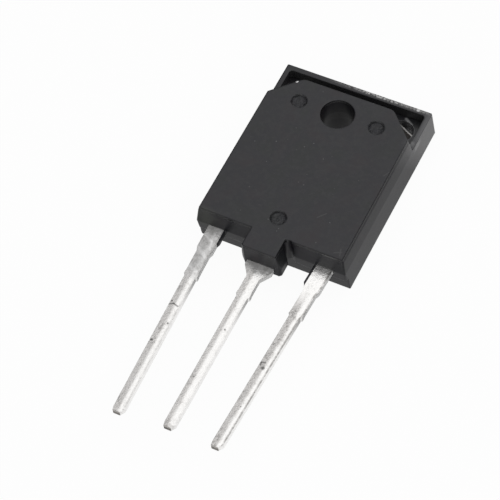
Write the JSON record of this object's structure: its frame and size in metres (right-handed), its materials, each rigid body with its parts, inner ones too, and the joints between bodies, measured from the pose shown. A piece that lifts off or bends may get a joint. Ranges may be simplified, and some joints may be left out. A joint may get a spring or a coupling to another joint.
{
  "type": "power transistor",
  "caption": "Power transistor in a flat, fully moulded black case with a screw hole, a moat round its top end and a row of flat tinned leads.",
  "frame": {"origin": "axis of the screw hole at the flat back face, which is the heat-sink face", "axes": "+X across the leads from the base lead to the emitter lead, +Y from the leads to the screw hole's end, +Z from the back face to the raised face"},
  "size_m": [0.0152, 0.0398, 0.005],
  "materials": {
    "moulded_case": "satin black filled epoxy",
    "collector_frame": "copper with a satin tin plating",
    "base_lead": "copper with a satin tin plating",
    "emitter_lead": "copper with a satin tin plating",
    "silicon_die": "silicon with a metallised top",
    "die_solder": "reflowed solder",
    "base_wire": "bright drawn wire",
    "emitter_wire_1": "bright drawn wire",
    "emitter_wire_2": "bright drawn wire"
  },
  "bodies": {
    "root": {"moulded_case": "moulded_case", "collector_frame": "collector_frame", "base_lead": "base_lead", "emitter_lead": "emitter_lead", "silicon_die": "silicon_die", "die_solder": "die_solder", "base_wire": "base_wire", "emitter_wire_1": "emitter_wire_1", "emitter_wire_2": "emitter_wire_2"}
  },
  "joints": []
}
